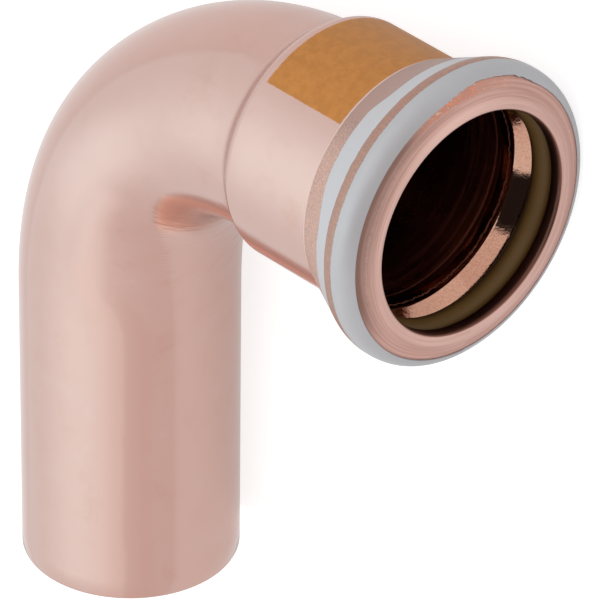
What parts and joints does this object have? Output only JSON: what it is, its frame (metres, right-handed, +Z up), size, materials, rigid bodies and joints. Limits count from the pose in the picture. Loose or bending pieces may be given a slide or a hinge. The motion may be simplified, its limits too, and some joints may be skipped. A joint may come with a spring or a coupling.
{
  "type": "press fit pipe elbow",
  "caption": "Copper quarter-bend press fitting with a plain end, a beaded press socket with its seal ring, and a thin indicator ring over the bead.",
  "frame": {"origin": "middle of the fitting's footprint, on the surface that it lies on", "axes": "+Z up; the fitting lies on its side, with the plain end facing -Y and the socket's mouth facing +X, tipped up by 5.3 degrees because the bead is fatter than the tube"},
  "size_m": [0.0602, 0.0752, 0.0304],
  "materials": {
    "copper": "satin drawn copper, polished inside the socket",
    "seal_elastomer": "smooth olive brown elastomer",
    "indicator_film": "thin grey white film with clear bands"
  },
  "bodies": {
    "root": {"fitting_body": "copper", "seal_ring": "seal_elastomer", "press_indicator_ring": "indicator_film"}
  },
  "joints": []
}
